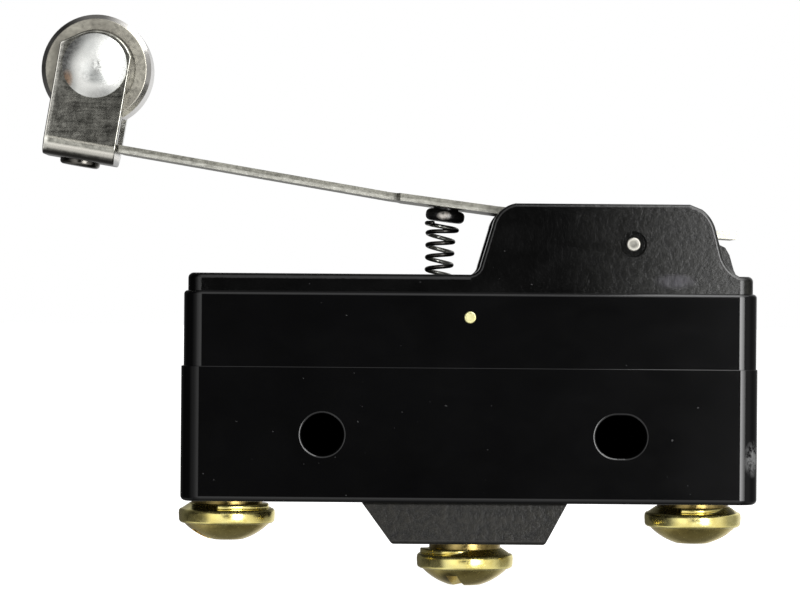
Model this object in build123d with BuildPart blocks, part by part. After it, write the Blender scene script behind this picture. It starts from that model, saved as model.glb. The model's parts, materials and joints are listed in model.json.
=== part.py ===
from build123d import *
import os
from math import acos, asin, atan2, cos, hypot, sin

# A limit switch: a snap-action switch in a moulded case, worked by a hinged roller lever.
# Millimetres. The origin is the centre of the round mounting hole, midway through the
# case. X runs along the case towards the hinge, Y from the front face to the back face,
# and Z up towards the lever.

# ---- driving dimensions ----

# case
CASE_LEFT, CASE_RIGHT = -12.1, 37.1
CASE_DEPTH = 17.45
CASE_BOTTOM, PARTING_Z, CASE_TOP = -5.75, 5.77, 12.2
UPPER_LEFT, UPPER_RIGHT = -11.9, 37.0      # the case above its parting line
UPPER_INSET = 0.07                         # step at the parting line, front and back
CORNER_R = 1.6
BASE_EDGE_R, PARTING_EDGE_R, TOP_EDGE_R = 0.45, 0.06, 0.33
HOLE_PITCH = 25.4
HOLE_R = 1.8
SLOT_LENGTH = 4.3
RIM_R = 0.2                                # rounding of the mounting holes' rims
CAVITY_LEFT, CAVITY_RIGHT = -10.3, 35.3
CAVITY_DEPTH = 13.8
CAVITY_FLOOR = 3.2
CAVITY_CORNER_R = 1.0

# raised foot around the middle terminal
FOOT_TOP_LEFT, FOOT_TOP_RIGHT = 3.4, 20.9
FOOT_LEFT, FOOT_RIGHT = 6.0, 19.0
FOOT_BOTTOM = -9.3
FOOT_INSET = 0.65
FOOT_ROOT = 1.0                            # of the foot inside the case
FOOT_EDGE_R = 0.4

# cover with its hinge cheeks
COVER_INSET, COVER_END_INSET = 0.4, 0.35
COVER_TOP = 13.7
COVER_EDGE_R, CHEEK_EDGE_R = 0.45, 0.3
SKIRT_BOTTOM = 10.6
SKIRT_WALL = 1.0
SKIRT_GAP = 0.05
CHEEK_TOP = 19.8
CHEEK_GAP = 10.6                           # the lever's slot between the cheeks
# the cheeks' outline, from the left foot over the flat top to the right foot
LEFT_FOOT_X = 12.55
LEFT_FOOT_CURVE = [(13.1, 13.98), (13.4, 14.6)]
LEFT_SHOULDER = [(14.35, 17.8), (15.0, 19.1)]
CHEEK_TOP_LEFT, CHEEK_TOP_RIGHT = 16.3, 31.15
RIGHT_BEVEL = (32.2, 19.38)
RIGHT_SHOULDER = [(32.93, 18.62), (33.38, 17.6)]
RIGHT_FOOT_CURVE = [(33.95, 15.35), (34.4, 14.5)]
RIGHT_FOOT_X = 35.4
CHEEK_ROOT = 0.8                           # of the cheeks inside the cover
PIN_BLOCK_LEFT, PIN_BLOCK_RIGHT, PIN_BLOCK_BOTTOM = 6.4, 16.0, 8.2
# the wall that closes the slot behind the lever
STOP_LEFT, STOP_TOP, STOP_ROOT = 32.3, 16.97, 0.5
STOP_BACK = [(33.4, 16.9), (34.0, 16.4), (34.43, 16.2), (34.8, 15.55), (35.17, 14.25), (35.7, 13.2)]
COVER_PIN_X, COVER_PIN_Z, COVER_PIN_R = 12.5, 10.05, 0.52

# plunger and its well
PLUNGER_X = 9.7
WELL_R, WELL_FLOOR = 1.85, 10.0
PLUNGER_TRAVEL = 0.3
STEM_R, GUIDE_R = 0.9, 0.94

# lever, hinged on a pin between the cheeks
PIVOT_X, PIVOT_Z = 26.37, 16.38
PIVOT_R = 0.6
PIVOT_SINK_R, PIVOT_SINK_DEPTH = 1.1, 0.35
LEVER_T = 0.64
LEVER_TIP_W, LEVER_W, LEVER_WIDE, TAIL_W = 4.2, 6.7, 10.0, 6.4
LEVER_END = (-23.92, 25.40)
LEVER_BEND = (5.50, 20.50)
LEVER_KNEE = (14.80, 19.30)
LEVER_HEEL = (33.40, 17.38)
LEVER_TAIL = (35.60, 17.27)
SHOULDER_X, SHOULDER_LENGTH = 6.2, 0.3

# roller and its bracket
ROLLER_X, ROLLER_Z = -19.98, 31.30
ROLLER_R, ROLLER_W = 4.765, 4.8
AXLE_R = 1.6
BRACKET_T = 1.2
BRACKET_OUTER = 7.4                        # over both ears
BRACKET_LEFT, BRACKET_RIGHT = -3.35, 2.95  # ear's edges, along the lever from the axle
EAR_CORNER = 1.75                          # height of the ear's square corner over the axle
EAR_R = 3.3
EAR_EDGE_R = 0.14

# overtravel spring
SPRING_X, SPRING_R, SPRING_WIRE = 9.85, 1.42, 0.35
SPRING_TURNS = 7.5
BUTTON_X = 10.54

# terminals
TERMINAL_X = {"common": -8.46, "normally_closed": 12.35, "normally_open": 32.22}
INSERT_R = 2.3
NECK_R = 3.1
STRIP_T = 0.7
SCREW_R = 1.72
SCREW_REACH = 6.5                          # of the screws into the case
SCREW_SLOT_W, SCREW_SLOT_DEPTH = 1.0, 0.9
SLOT_TURN = {"common": 24, "normally_closed": 68, "normally_open": -15}
WASHER_R, WASHER_H = 4.22, 1.75
WASHER_SHEET = 0.45                        # of the cup washer's rim and of its flat
NECK_H = {"common": 0.56, "normally_closed": 0.8, "normally_open": 0.6}
HEAD_R, HEAD_H, HEAD_TIP_R = 3.75, 1.42, 1.45
HEAD_BULGE_R, HEAD_BULGE_H = 2.58, 0.92    # a point of the head's rounded taper

# snap mechanism
BLADE_Z, BLADE_T = 7.2, 0.25               # underside of the blade at rest
BLADE_W = 6.4
BLADE_LEFT, BLADE_RIGHT = -8.2, 30.6
BLADE_CORNER_R = 1.0
BLADE_HINGE_X = -5.9
ANCHOR_ROUND = 0.4                         # rounded edge that the blade bends over
BRIDGE_HALF = 1.4                          # of the bridge under the plunger
CONTACT_X = 29.0
CONTACT_R, CONTACT_SHANK_R = 1.25, 0.6
CONTACT_H = 0.55                           # moving contact, above and below the blade
CONTACT_GAP, CONTACT_CLEARANCE = 0.78, 0.05
WINDOW_LEFT, WINDOW_RIGHT, WINDOW_W = -4.4, 21.0, 3.8
TONGUE_W, TONGUE_END, TONGUE_Z = 3.0, -0.5, 6.2
TONGUE_LOW = (11.5, 5.4)                   # lowest point of the bowed tongue
TONGUE_ROOT = 0.2
ANCHOR_W = 5.0
ANCHOR_LEFT = -9.7
POST_LEFT, NOTCH_HALF, NOTCH_DEPTH, POST_GAP = -3.6, 0.7, 0.4, 0.15
RIVET_X, RIVET_SHANK_R, BLADE_HOLE_R = -7.1, 0.6, 0.75
BLADE_RIVET_HEAD_R, BLADE_RIVET_HEAD_H = 1.4, 0.55
REST_GAP = 0.05                            # between parts that meet only when pressed

# strips of the terminals inside the case
STRIP_W = 4.6
STRIP_GAP = 0.2                            # from a strip's end to the cavity's wall
WALL_GAP = 0.1                             # from the riser's back to the cavity's wall
COMMON_STRIP_RIGHT = -1.6
NC_STRIP_LEFT, NC_STRIP_RIGHT, NC_RISER_LEFT = 10.0, 22.0, 17.4
ARM_LEFT, ARM_RIGHT = 27.2, 30.8
NO_RISER_LEFT = 30.6

# ---- values that follow ----

BEYOND = 1.0                               # how far cutting shapes reach past a part
CASE_MID_X = (CASE_LEFT + CASE_RIGHT) / 2
UPPER_MID_X = (UPPER_LEFT + UPPER_RIGHT) / 2
HALF_DEPTH = CASE_DEPTH / 2
COVER_HALF = HALF_DEPTH - COVER_INSET
LEVER_TILT = atan2(LEVER_END[1] - LEVER_BEND[1], LEVER_BEND[0] - LEVER_END[0])
MOVING_TOP = BLADE_Z + BLADE_T + CONTACT_H
MOVING_BOTTOM = BLADE_Z - CONTACT_H
NC_ARM_Z = MOVING_TOP + CONTACT_CLEARANCE + CONTACT_H
NO_ARM_Z = MOVING_BOTTOM - CONTACT_GAP - CONTACT_H - STRIP_T
ANCHOR_TOP = BLADE_Z - REST_GAP
WALL_FACE = CAVITY_DEPTH / 2 - WALL_GAP    # back of the strip beside the cavity's wall

os.makedirs("parts", exist_ok=True)


def save(part, name):
    """Label one finished piece and write it to its own file."""
    part.part.label = name
    export_step(part.part, f"parts/{name}.step")


def box_at(x0, x1, y0, y1, z0, z1, mode=Mode.ADD):
    """A block between two corners, in the part that is being built."""
    with Locations(((x0 + x1) / 2, (y0 + y1) / 2, (z0 + z1) / 2)):
        Box(x1 - x0, y1 - y0, z1 - z0, mode=mode)


def along_y(x, z, radius, y0, y1, mode=Mode.ADD):
    """A round bar or hole along Y, in the part that is being built."""
    with Locations(Location((x, (y0 + y1) / 2, z), (90, 0, 0))):
        Cylinder(radius, y1 - y0, mode=mode)


def upright(x, radius, z0, z1, mode=Mode.ADD):
    """A round bar or hole along Z on the middle plane, in the part that is being built."""
    with Locations((x, 0, (z0 + z1) / 2)):
        Cylinder(radius, z1 - z0, mode=mode)


def lever_z(x):
    """Height of the middle of the lever's sheet at x."""
    points = [LEVER_END, LEVER_BEND, LEVER_KNEE, LEVER_HEEL, LEVER_TAIL]
    for (x0, z0), (x1, z1) in zip(points, points[1:]):
        if x <= x1:
            break
    return z0 + (z1 - z0) * (x - x0) / (x1 - x0)


# ---- case ----

with BuildPart() as case:
    with BuildSketch(Plane.XY.offset(CASE_BOTTOM)):
        with Locations((CASE_MID_X, 0)):
            RectangleRounded(CASE_RIGHT - CASE_LEFT, CASE_DEPTH, CORNER_R)
    extrude(amount=PARTING_Z - CASE_BOTTOM)
    fillet(case.faces().sort_by(Axis.Z)[0].edges(), BASE_EDGE_R)
    fillet(case.faces().sort_by(Axis.Z)[-1].edges(), PARTING_EDGE_R)
    with BuildSketch(Plane.XY.offset(PARTING_Z)):
        with Locations((UPPER_MID_X, 0)):
            RectangleRounded(UPPER_RIGHT - UPPER_LEFT, CASE_DEPTH - 2 * UPPER_INSET, CORNER_R)
    extrude(amount=CASE_TOP - PARTING_Z)
    fillet(case.faces().sort_by(Axis.Z)[-1].edges(), TOP_EDGE_R)
    # the foot, a block with slanted ends
    with BuildSketch(Plane.XZ):
        with BuildLine():
            Polyline(
                (FOOT_TOP_LEFT, CASE_BOTTOM + FOOT_ROOT),
                (FOOT_TOP_LEFT, CASE_BOTTOM),
                (FOOT_LEFT, FOOT_BOTTOM),
                (FOOT_RIGHT, FOOT_BOTTOM),
                (FOOT_TOP_RIGHT, CASE_BOTTOM),
                (FOOT_TOP_RIGHT, CASE_BOTTOM + FOOT_ROOT),
                close=True,
            )
        make_face()
    extrude(amount=HALF_DEPTH - FOOT_INSET, both=True)
    fillet(case.faces().sort_by(Axis.Z)[0].edges(), FOOT_EDGE_R)
    # the cavity that holds the mechanism
    with BuildSketch(Plane.XY.offset(CAVITY_FLOOR)):
        with Locations(((CAVITY_LEFT + CAVITY_RIGHT) / 2, 0)):
            RectangleRounded(CAVITY_RIGHT - CAVITY_LEFT, CAVITY_DEPTH, CAVITY_CORNER_R)
    extrude(amount=CASE_TOP - CAVITY_FLOOR, mode=Mode.SUBTRACT)
    # mounting holes: one round, one slotted
    with BuildSketch(Plane.XZ):
        Circle(HOLE_R)
        with Locations((HOLE_PITCH, 0)):
            SlotOverall(SLOT_LENGTH, 2 * HOLE_R)
    extrude(amount=HALF_DEPTH, both=True, mode=Mode.SUBTRACT)
    flat_sides = case.faces().filter_by(Axis.Y).sort_by(Axis.Y)
    hole_rims = [wire for side in (0, -1) for wire in flat_sides[side].inner_wires()]
    fillet([e for wire in hole_rims for e in wire.edges()], RIM_R)
    # sockets for the terminals and the hole for the cover pin
    for x in TERMINAL_X.values():
        upright(x, INSERT_R, FOOT_BOTTOM, CAVITY_FLOOR, mode=Mode.SUBTRACT)
    along_y(COVER_PIN_X, COVER_PIN_Z, COVER_PIN_R, -HALF_DEPTH, HALF_DEPTH, mode=Mode.SUBTRACT)
save(case, "case")

# ---- cover ----

# the slab that the lever's slot parts into two hinge cheeks
with BuildPart() as cheek_slab:
    with BuildSketch(Plane.XZ):
        with BuildLine():
            l1 = Line((LEFT_FOOT_X, COVER_TOP - CHEEK_ROOT), (LEFT_FOOT_X, COVER_TOP))
            l2 = ThreePointArc(l1 @ 1, *LEFT_FOOT_CURVE)
            l3 = Line(l2 @ 1, LEFT_SHOULDER[0])
            l4 = ThreePointArc(l3 @ 1, LEFT_SHOULDER[1], (CHEEK_TOP_LEFT, CHEEK_TOP))
            l5 = Line(l4 @ 1, (CHEEK_TOP_RIGHT, CHEEK_TOP))
            l6 = Line(l5 @ 1, RIGHT_BEVEL)
            l7 = ThreePointArc(l6 @ 1, *RIGHT_SHOULDER)
            l8 = Line(l7 @ 1, RIGHT_FOOT_CURVE[0])
            l9 = ThreePointArc(l8 @ 1, RIGHT_FOOT_CURVE[1], (RIGHT_FOOT_X, COVER_TOP))
            l10 = Line(l9 @ 1, (RIGHT_FOOT_X, COVER_TOP - CHEEK_ROOT))
            Line(l10 @ 1, l1 @ 0)
        make_face()
    extrude(amount=COVER_HALF, both=True)
    outline = cheek_slab.faces().filter_by(Axis.Y).edges()
    fillet(outline.filter_by(lambda e: e.center().Z > COVER_TOP - CHEEK_ROOT / 4), CHEEK_EDGE_R)

with BuildPart() as cover:
    with BuildSketch(Plane.XY.offset(CASE_TOP)):
        with Locations((UPPER_MID_X, 0)):
            RectangleRounded(
                UPPER_RIGHT - UPPER_LEFT - 2 * COVER_END_INSET,
                2 * COVER_HALF,
                CORNER_R - COVER_INSET,
            )
    extrude(amount=COVER_TOP - CASE_TOP)
    fillet(cover.faces().sort_by(Axis.Z)[-1].edges(), COVER_EDGE_R)
    add(cheek_slab.part)
    box_at(
        UPPER_LEFT,
        UPPER_RIGHT,
        -CHEEK_GAP / 2,
        CHEEK_GAP / 2,
        COVER_TOP,
        CHEEK_TOP + BEYOND,
        mode=Mode.SUBTRACT,
    )
    # the wall behind the slot, which the lever's tail rests on
    with BuildSketch(Plane.XZ):
        with BuildLine():
            Polyline(
                (STOP_LEFT, COVER_TOP - STOP_ROOT),
                (STOP_LEFT, STOP_TOP),
                *STOP_BACK,
                close=True,
            )
        make_face()
    extrude(amount=CHEEK_GAP / 2, both=True)
    # skirt that locates the cover inside the case
    with BuildSketch(Plane.XY.offset(SKIRT_BOTTOM)):
        with Locations(((CAVITY_LEFT + CAVITY_RIGHT) / 2, 0)):
            RectangleRounded(
                CAVITY_RIGHT - CAVITY_LEFT - 2 * SKIRT_GAP,
                CAVITY_DEPTH - 2 * SKIRT_GAP,
                CAVITY_CORNER_R - SKIRT_GAP,
            )
            RectangleRounded(
                CAVITY_RIGHT - CAVITY_LEFT - 2 * SKIRT_WALL,
                CAVITY_DEPTH - 2 * SKIRT_WALL,
                CAVITY_CORNER_R / 2,
                mode=Mode.SUBTRACT,
            )
    extrude(amount=CASE_TOP - SKIRT_BOTTOM)
    block_half = CAVITY_DEPTH / 2 - SKIRT_GAP
    box_at(
        PIN_BLOCK_LEFT, PIN_BLOCK_RIGHT, -block_half, block_half, PIN_BLOCK_BOTTOM, CASE_TOP
    )
    # well for the spring, guide for the plunger, holes for the two pins
    upright(PLUNGER_X, WELL_R, WELL_FLOOR, COVER_TOP, mode=Mode.SUBTRACT)
    upright(PLUNGER_X, GUIDE_R, PIN_BLOCK_BOTTOM, WELL_FLOOR, mode=Mode.SUBTRACT)
    along_y(COVER_PIN_X, COVER_PIN_Z, COVER_PIN_R, -HALF_DEPTH, HALF_DEPTH, mode=Mode.SUBTRACT)
    along_y(PIVOT_X, PIVOT_Z, PIVOT_R, -HALF_DEPTH, HALF_DEPTH, mode=Mode.SUBTRACT)
    for side in (-1, 1):
        outer, inner = side * COVER_HALF, side * (COVER_HALF - PIVOT_SINK_DEPTH)
        y0, y1 = sorted((outer, inner))
        along_y(PIVOT_X, PIVOT_Z, PIVOT_SINK_R, y0, y1, mode=Mode.SUBTRACT)
save(cover, "cover")

# ---- pins ----

COVER_PIN_PROUD, PIVOT_PIN_SUNK, PIN_EDGE = 0.02, 0.12, 0.11

with BuildPart() as cover_pin:
    pin_half = HALF_DEPTH + COVER_PIN_PROUD
    along_y(COVER_PIN_X, COVER_PIN_Z, COVER_PIN_R, -pin_half, pin_half)
    fillet(cover_pin.edges().filter_by(GeomType.CIRCLE), PIN_EDGE)
save(cover_pin, "cover_pin")

with BuildPart() as pivot_pin:
    pin_half = COVER_HALF - PIVOT_PIN_SUNK
    along_y(PIVOT_X, PIVOT_Z, PIVOT_R, -pin_half, pin_half)
    fillet(pivot_pin.edges().filter_by(GeomType.CIRCLE), PIN_EDGE)
save(pivot_pin, "pivot_pin")

# ---- frames and sizes that the lever and the roller's bracket share ----

# the bracket's frame: its origin is on the axle, x runs down the lever, y away from it
BRACKET_SIDE = Plane(
    origin=(ROLLER_X, 0, ROLLER_Z),
    x_dir=(cos(LEVER_TILT), 0, -sin(LEVER_TILT)),
    z_dir=(0, -1, 0),
)
BRACKET_END = Plane(
    origin=(ROLLER_X, 0, ROLLER_Z),
    x_dir=(0, 1, 0),
    z_dir=(cos(LEVER_TILT), 0, -sin(LEVER_TILT)),
)
AXLE_TO_LEVER = (ROLLER_Z - lever_z(ROLLER_X)) * cos(LEVER_TILT)
BASE_TOP = -AXLE_TO_LEVER - LEVER_T / 2
BASE_BOTTOM = BASE_TOP - BRACKET_T
BEND_R = 1.6                               # outside of the sheet's bends
AXLE_HEAD_R, AXLE_HEAD_H = 2.78, 1.1
AXLE_HEAD_RISE = 0.22                      # of the front head's centre over the shank's
TAIL_HEAD_R, TAIL_HEAD_H = 2.3, 0.8
AXLE_RIM = 0.25                            # straight edge of both heads
ROLLER_RING_R, ROLLER_HUB_R, ROLLER_GROOVE = 3.45, 2.5, 0.35
ROLLER_EDGE, ROLLER_RIM_R, ROLLER_PLAY = 0.4, 0.12, 0.05
RIVET_R, RIVET_HEAD_R, RIVET_HEAD_H, RIVET_EDGE_R = 1.1, 1.75, 0.5, 0.32
RIVET_ALONG = (BRACKET_LEFT + BRACKET_RIGHT) / 2
RIVET_PLANE = Plane(
    origin=BRACKET_SIDE.from_local_coords((RIVET_ALONG, BASE_TOP, 0)),
    x_dir=BRACKET_SIDE.x_dir,
    z_dir=BRACKET_SIDE.y_dir,
)
RIVET_LINE = Axis(RIVET_PLANE.origin, RIVET_PLANE.z_dir)
AXLE_LINE = Axis((ROLLER_X, 0, ROLLER_Z), (0, 1, 0))
HEAD_LINE = Axis((ROLLER_X, 0, ROLLER_Z + AXLE_HEAD_RISE), (0, 1, 0))

# ---- lever ----

EAR_LEFT, EAR_RIGHT = 24.2, 28.6
EAR_BOTTOM = 14.7
EAR_SLANT = 0.4
PIVOT_PLAY = 0.04
TIP_RIGHT, TIP_SHOULDER = -18.0, -17.9
TAIL_LEFT, TAIL_SHOULDER = 30.6, 30.0
BUTTON_Z = lever_z(BUTTON_X)
BUTTON_TILT = atan2(LEVER_BEND[1] - LEVER_KNEE[1], LEVER_KNEE[0] - LEVER_BEND[0])
BUTTON_PLANE = Plane(
    origin=(BUTTON_X, 0, BUTTON_Z),
    x_dir=(cos(BUTTON_TILT), 0, -sin(BUTTON_TILT)),
    z_dir=(sin(BUTTON_TILT), 0, cos(BUTTON_TILT)),
)
BUTTON_SHANK_R = 0.8

with BuildPart() as lever:
    with BuildSketch(Plane.XZ):
        with BuildLine() as lever_line:
            Polyline(LEVER_END, LEVER_BEND, LEVER_KNEE, LEVER_HEEL, LEVER_TAIL)
        trace(line_width=LEVER_T)
    extrude(amount=LEVER_WIDE / 2, both=True)
    with BuildSketch(Plane.XY):
        with BuildLine():
            half = Polyline(
                (LEVER_END[0] - BEYOND, 0),
                (LEVER_END[0] - BEYOND, LEVER_TIP_W / 2),
                (TIP_RIGHT, LEVER_TIP_W / 2),
                (TIP_SHOULDER, LEVER_W / 2),
                (SHOULDER_X, LEVER_W / 2),
                (SHOULDER_X + SHOULDER_LENGTH, LEVER_WIDE / 2),
                (TAIL_SHOULDER, LEVER_WIDE / 2),
                (TAIL_LEFT, TAIL_W / 2),
                (LEVER_TAIL[0] + BEYOND, TAIL_W / 2),
                (LEVER_TAIL[0] + BEYOND, 0),
            )
            mirror(half, about=Plane.XZ)
        make_face()
    extrude(amount=2 * LEVER_END[1], mode=Mode.INTERSECT)
    # ears bent down at both sides, round under the pin
    for side in (-1, 1):
        y_outer = side * LEVER_WIDE / 2
        with BuildSketch(Plane.XZ.offset(-y_outer)):
            with BuildLine():
                Polyline(
                    (EAR_LEFT, lever_z(EAR_LEFT)),
                    (EAR_LEFT + EAR_SLANT, PIVOT_Z),
                    (EAR_RIGHT - EAR_SLANT, PIVOT_Z),
                    (EAR_RIGHT, lever_z(EAR_RIGHT)),
                    close=True,
                )
            make_face()
            with Locations((PIVOT_X, PIVOT_Z)):
                Circle(PIVOT_Z - EAR_BOTTOM)
        extrude(amount=side * LEVER_T)
    pivot_hole_r = PIVOT_R + PIVOT_PLAY
    along_y(PIVOT_X, PIVOT_Z, pivot_hole_r, -LEVER_WIDE, LEVER_WIDE, mode=Mode.SUBTRACT)
    for plane, radius in ((BUTTON_PLANE, BUTTON_SHANK_R), (RIVET_PLANE, RIVET_R)):
        with BuildSketch(plane):
            Circle(radius)
        extrude(amount=2 * LEVER_T, both=True, mode=Mode.SUBTRACT)
save(lever, "lever")

# ---- button that holds the spring's upper end ----

BUTTON_R, BUTTON_H, BUTTON_EDGE_R = 1.7, 1.05, 0.45
BUTTON_NECK_R, BUTTON_NECK = 1.1, 0.15
UNDERSIDE = -LEVER_T / 2

with BuildPart() as spring_button:
    with BuildSketch(BUTTON_PLANE.offset(UNDERSIDE - BUTTON_NECK - BUTTON_H)):
        Circle(BUTTON_R)
    extrude(amount=BUTTON_H)
    fillet(spring_button.edges().filter_by(GeomType.CIRCLE), BUTTON_EDGE_R)
    with BuildSketch(BUTTON_PLANE.offset(UNDERSIDE - BUTTON_NECK)):
        Circle(BUTTON_NECK_R)
    extrude(amount=BUTTON_NECK)
    with BuildSketch(BUTTON_PLANE.offset(UNDERSIDE)):
        Circle(BUTTON_SHANK_R)
    extrude(amount=LEVER_T)
save(spring_button, "spring_button")

# ---- overtravel spring, between the plunger's head and the button ----

PLUNGER_HEAD_T = 0.6
PLUNGER_HEAD_Z = WELL_FLOOR + PLUNGER_TRAVEL + REST_GAP
SPRING_FOOT_GAP, SPRING_HEAD_GAP = 0.02, 0.27
SPRING_BOTTOM = PLUNGER_HEAD_Z + PLUNGER_HEAD_T + SPRING_WIRE / 2 + SPRING_FOOT_GAP
BUTTON_UNDERSIDE = BUTTON_Z + UNDERSIDE - BUTTON_NECK - BUTTON_H
SPRING_TOP = BUTTON_UNDERSIDE - SPRING_WIRE / 2 - SPRING_HEAD_GAP

with BuildPart() as overtravel_spring:
    with BuildLine():
        spring_path = Helix(
            pitch=(SPRING_TOP - SPRING_BOTTOM) / SPRING_TURNS,
            height=SPRING_TOP - SPRING_BOTTOM,
            radius=SPRING_R,
            center=(SPRING_X, 0, SPRING_BOTTOM),
        )
    with BuildSketch(Plane(origin=spring_path @ 0, z_dir=spring_path % 0)):
        Circle(SPRING_WIRE / 2)
    sweep()
save(overtravel_spring, "overtravel_spring")

# ---- plunger, with a head that carries the spring ----

PLUNGER_FOOT = BLADE_Z + BLADE_T + REST_GAP
PLUNGER_TIP_R = 0.3
WELL_PLAY = 0.08

with BuildPart() as plunger:
    upright(PLUNGER_X, STEM_R, PLUNGER_FOOT, PLUNGER_HEAD_Z)
    fillet(plunger.faces().sort_by(Axis.Z)[0].edges(), PLUNGER_TIP_R)
    head_z = PLUNGER_HEAD_Z + PLUNGER_HEAD_T
    upright(PLUNGER_X, WELL_R - WELL_PLAY, PLUNGER_HEAD_Z, head_z)
save(plunger, "plunger")

# ---- roller, axle and bracket ----

with BuildPart() as roller:
    along_y(ROLLER_X, ROLLER_Z, ROLLER_R, -ROLLER_W / 2, ROLLER_W / 2)
    chamfer(roller.edges().filter_by(GeomType.CIRCLE), ROLLER_EDGE)
    fillet(roller.faces().filter_by(GeomType.PLANE).edges(), ROLLER_RIM_R)
    for side in (-1, 1):
        y0, y1 = sorted((side * ROLLER_W / 2, side * (ROLLER_W / 2 - ROLLER_GROOVE)))
        along_y(ROLLER_X, ROLLER_Z, ROLLER_RING_R, y0, y1, mode=Mode.SUBTRACT)
        along_y(ROLLER_X, ROLLER_Z, ROLLER_HUB_R, y0, y1)
    along_y(ROLLER_X, ROLLER_Z, AXLE_R + ROLLER_PLAY, -ROLLER_W, ROLLER_W, mode=Mode.SUBTRACT)
save(roller, "roller")


def dome_arc(y_rim, r_rim, y_top):
    """An arc from a dome's rim to its top on the axis, round about a point of the axis."""
    rise = abs(y_top - y_rim)
    sphere_r = (rise**2 + r_rim**2) / (2 * rise)
    half_turn = asin(r_rim / sphere_r) / 2
    outward = 1 if y_top > y_rim else -1
    middle = (y_top - outward * sphere_r * (1 - cos(half_turn)), sphere_r * sin(half_turn))
    ThreePointArc((y_rim, r_rim), middle, (y_top, 0))


with BuildPart() as roller_axle:
    # a shank, closed by a small head on the back ear
    ear_face = BRACKET_OUTER / 2
    front_rim, back_rim = -ear_face - AXLE_RIM, ear_face + AXLE_RIM
    with BuildSketch(Plane(origin=AXLE_LINE.position, x_dir=(0, 1, 0), z_dir=(1, 0, 0))):
        with BuildLine():
            Polyline(
                (-ear_face, 0),
                (-ear_face, AXLE_R),
                (ear_face, AXLE_R),
                (ear_face, TAIL_HEAD_R),
                (back_rim, TAIL_HEAD_R),
            )
            dome_arc(back_rim, TAIL_HEAD_R, ear_face + TAIL_HEAD_H)
            Line((ear_face + TAIL_HEAD_H, 0), (-ear_face, 0))
        make_face()
    revolve(axis=AXLE_LINE)
    # the wider head on the front ear, a little off the shank's centre
    with BuildSketch(Plane(origin=HEAD_LINE.position, x_dir=(0, 1, 0), z_dir=(1, 0, 0))):
        with BuildLine():
            Polyline((-ear_face, 0), (-ear_face, AXLE_HEAD_R), (front_rim, AXLE_HEAD_R))
            dome_arc(front_rim, AXLE_HEAD_R, -ear_face - AXLE_HEAD_H)
            Line((-ear_face - AXLE_HEAD_H, 0), (-ear_face, 0))
        make_face()
    revolve(axis=HEAD_LINE)
save(roller_axle, "roller_axle")

with BuildPart() as roller_bracket:
    sheet_middle = BRACKET_OUTER / 2 - BRACKET_T / 2
    with BuildSketch(BRACKET_END.offset(BRACKET_LEFT)):
        with BuildLine():
            FilletPolyline(
                (-sheet_middle, EAR_R + BEYOND),
                (-sheet_middle, BASE_TOP - BRACKET_T / 2),
                (sheet_middle, BASE_TOP - BRACKET_T / 2),
                (sheet_middle, EAR_R + BEYOND),
                radius=BEND_R - BRACKET_T / 2,
            )
        trace(line_width=BRACKET_T)
    extrude(amount=BRACKET_RIGHT - BRACKET_LEFT)
    # the ears' outline: round over the axle, with one square corner
    with BuildSketch(BRACKET_SIDE):
        with BuildLine():
            below = BASE_BOTTOM - BEYOND
            corner = Polyline((BRACKET_LEFT, below), (BRACKET_LEFT, EAR_CORNER))
            reach = hypot(BRACKET_LEFT, EAR_CORNER)
            turn = atan2(EAR_CORNER, BRACKET_LEFT) - acos(EAR_R / reach)
            shoulder = Line(corner @ 1, (EAR_R * cos(turn), EAR_R * sin(turn)))
            end_turn = acos(BRACKET_RIGHT / EAR_R)
            middle_turn = (turn + end_turn) / 2
            crown = ThreePointArc(
                shoulder @ 1,
                (EAR_R * cos(middle_turn), EAR_R * sin(middle_turn)),
                (EAR_R * cos(end_turn), EAR_R * sin(end_turn)),
            )
            Polyline(crown @ 1, (BRACKET_RIGHT, below), (BRACKET_LEFT, below))
        make_face()
    extrude(amount=BRACKET_OUTER, both=True, mode=Mode.INTERSECT)
    ear_faces = roller_bracket.faces().filter_by(Axis.Y).sort_by(Axis.Y)
    ear_edges = [e for face in (ear_faces[0], ear_faces[-1]) for e in face.edges()]
    fillet([e for e in ear_edges if e.center().Z > ROLLER_Z - EAR_R], EAR_EDGE_R)
    along_y(ROLLER_X, ROLLER_Z, AXLE_R, -BRACKET_OUTER, BRACKET_OUTER, mode=Mode.SUBTRACT)
    with BuildSketch(RIVET_PLANE):
        Circle(RIVET_R)
    extrude(amount=2 * BRACKET_T, both=True, mode=Mode.SUBTRACT)
save(roller_bracket, "roller_bracket")

with BuildPart() as bracket_rivet:
    with BuildSketch(RIVET_PLANE.offset(-BRACKET_T)):
        Circle(RIVET_R)
    extrude(amount=BRACKET_T + LEVER_T)
    with BuildSketch(RIVET_PLANE.offset(LEVER_T)):
        Circle(RIVET_HEAD_R)
    extrude(amount=RIVET_HEAD_H)
    fillet(bracket_rivet.faces().sort_by(RIVET_LINE)[-1].edges(), RIVET_EDGE_R)
    with BuildSketch(RIVET_PLANE.offset(-BRACKET_T)):
        Circle(RIVET_HEAD_R)
    extrude(amount=-RIVET_HEAD_H)
    fillet(bracket_rivet.faces().sort_by(RIVET_LINE)[0].edges(), RIVET_EDGE_R)
save(bracket_rivet, "bracket_rivet")

# ---- terminals, each a threaded insert with a strip on the cavity's floor ----

FLOOR_TOP = CAVITY_FLOOR + STRIP_T
STRIP_HALF = STRIP_W / 2


def terminal_body(name, seat):
    """A terminal's round insert with its neck under the case."""
    upright(TERMINAL_X[name], INSERT_R, seat, CAVITY_FLOOR)
    upright(TERMINAL_X[name], NECK_R, seat - NECK_H[name], seat)


def screw_hole(name, seat):
    """The hole in a terminal that its screw fills."""
    bottom = seat - NECK_H[name]
    upright(TERMINAL_X[name], SCREW_R, bottom, seat + SCREW_REACH, mode=Mode.SUBTRACT)


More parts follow.
